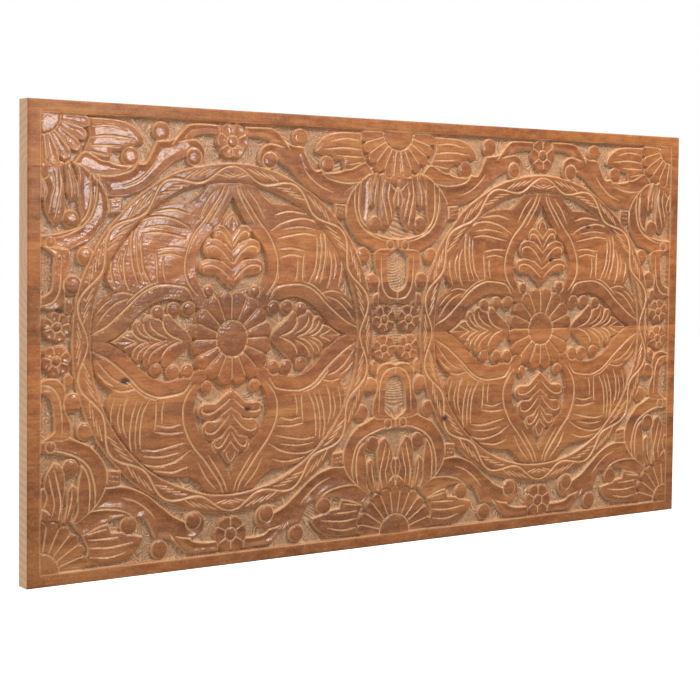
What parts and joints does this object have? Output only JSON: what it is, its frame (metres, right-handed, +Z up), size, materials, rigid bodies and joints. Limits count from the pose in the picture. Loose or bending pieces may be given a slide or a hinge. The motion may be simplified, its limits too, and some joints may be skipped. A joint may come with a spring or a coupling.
{
  "type": "carved wooden headboard",
  "caption": "Wide carved wooden headboard panel with round floral medallions, edge-glued from boards, battened behind and hung on a bevelled wall cleat.",
  "frame": {"origin": "centre of the wall cleat's back face, on the wall, midway between its screw holes", "axes": "+X along the headboard to the right seen from the front, +Y into the wall, +Z up"},
  "size_m": [1.5, 0.0713, 0.8],
  "materials": {
    "carved_wood": "satin varnish",
    "batten_wood": "planed",
    "cleat_wood": "planed",
    "dowel_wood": "turned",
    "screw_steel": "zinc plated",
    "felt": "felt"
  },
  "bodies": {
    "wall_cleat": {"wall_cleat": "cleat_wood"},
    "headboard": {"board_1": "carved_wood", "board_2": "carved_wood", "board_3": "carved_wood", "board_4": "carved_wood", "board_5": "carved_wood", "board_6": "carved_wood", "board_7": "carved_wood", "board_8": "carved_wood", "dowels_1": "dowel_wood", "dowels_2": "dowel_wood", "dowels_3": "dowel_wood", "dowels_4": "dowel_wood", "dowels_5": "dowel_wood", "dowels_6": "dowel_wood", "dowels_7": "dowel_wood", "batten_left": "batten_wood", "batten_middle": "batten_wood", "batten_right": "batten_wood", "batten_screws_left": "screw_steel", "batten_screws_middle": "screw_steel", "batten_screws_right": "screw_steel", "panel_cleat": "cleat_wood", "panel_cleat_screws": "screw_steel", "spacer_left": "batten_wood", "spacer_right": "batten_wood", "spacer_screws": "screw_steel", "felt_pad_left": "felt", "felt_pad_right": "felt"}
  },
  "joints": [
    {"name": "lift_off", "type": "slide", "parent": "wall_cleat", "child": "headboard", "axis": [0, -0.7071, 0.7071], "range_m": [0, 0.06]}
  ]
}
